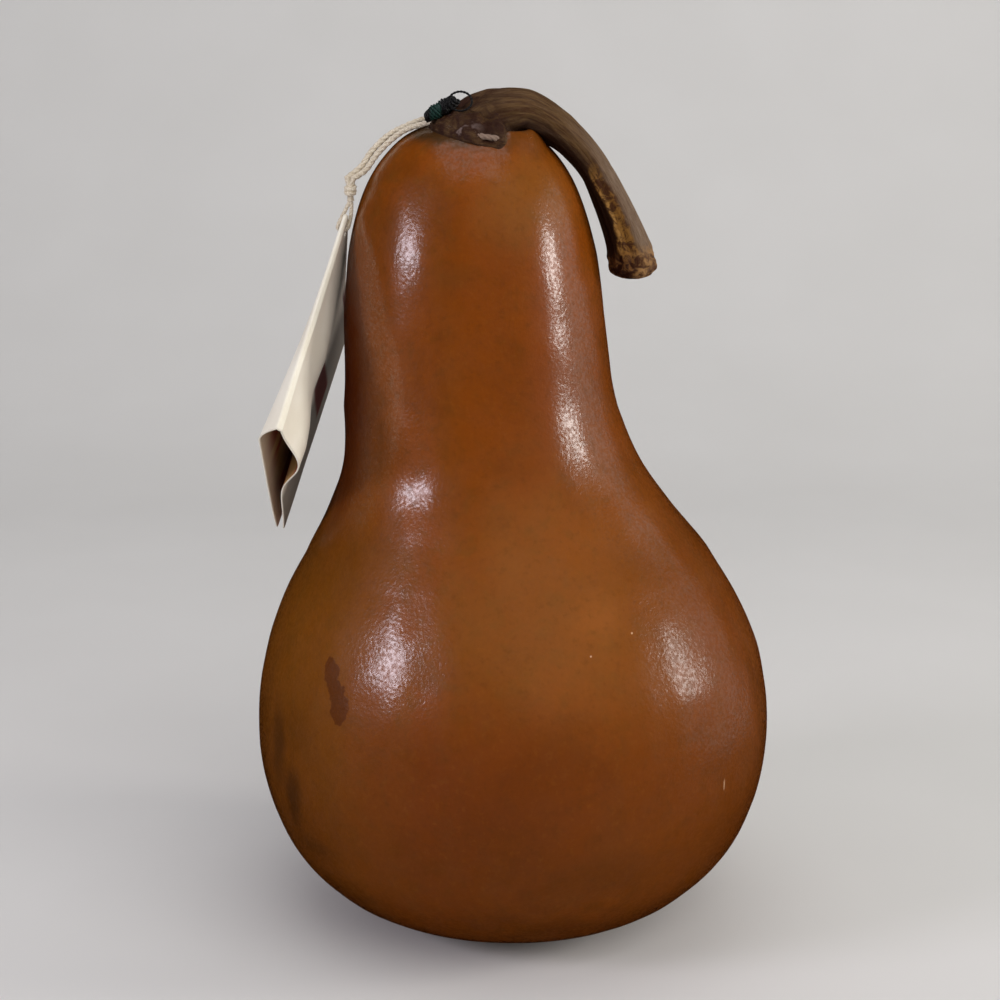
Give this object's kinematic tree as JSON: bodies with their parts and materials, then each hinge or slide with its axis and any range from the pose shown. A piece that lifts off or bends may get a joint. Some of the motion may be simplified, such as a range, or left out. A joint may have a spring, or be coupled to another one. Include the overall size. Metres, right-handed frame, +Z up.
{
  "type": "dried gourd",
  "caption": "Dried bottle gourd with a leaning neck, a bent dry stem, a wound thread and a folded card tag on a string, standing on its flat base",
  "frame": {"origin": "centre of the flat spot that the gourd rests on", "axes": "+Z up along the gourd, +X towards the stem's cut end, -Y towards the viewer of the picture"},
  "size_m": [0.1386, 0.1386, 0.2235],
  "materials": {
    "gourd_skin": "waxed, semi-gloss",
    "stem_bark": "dry, matte",
    "dark_thread": "matte",
    "cotton_string": "matte",
    "cream_card": "matte"
  },
  "bodies": {
    "root": {"gourd_shell": "gourd_skin", "stem": "stem_bark", "thread_wrap": "dark_thread", "thread_loop": "dark_thread", "tag_string": "cotton_string", "string_knot": "cotton_string", "tag_loop": "cotton_string", "tag_card": "cream_card"}
  },
  "joints": []
}
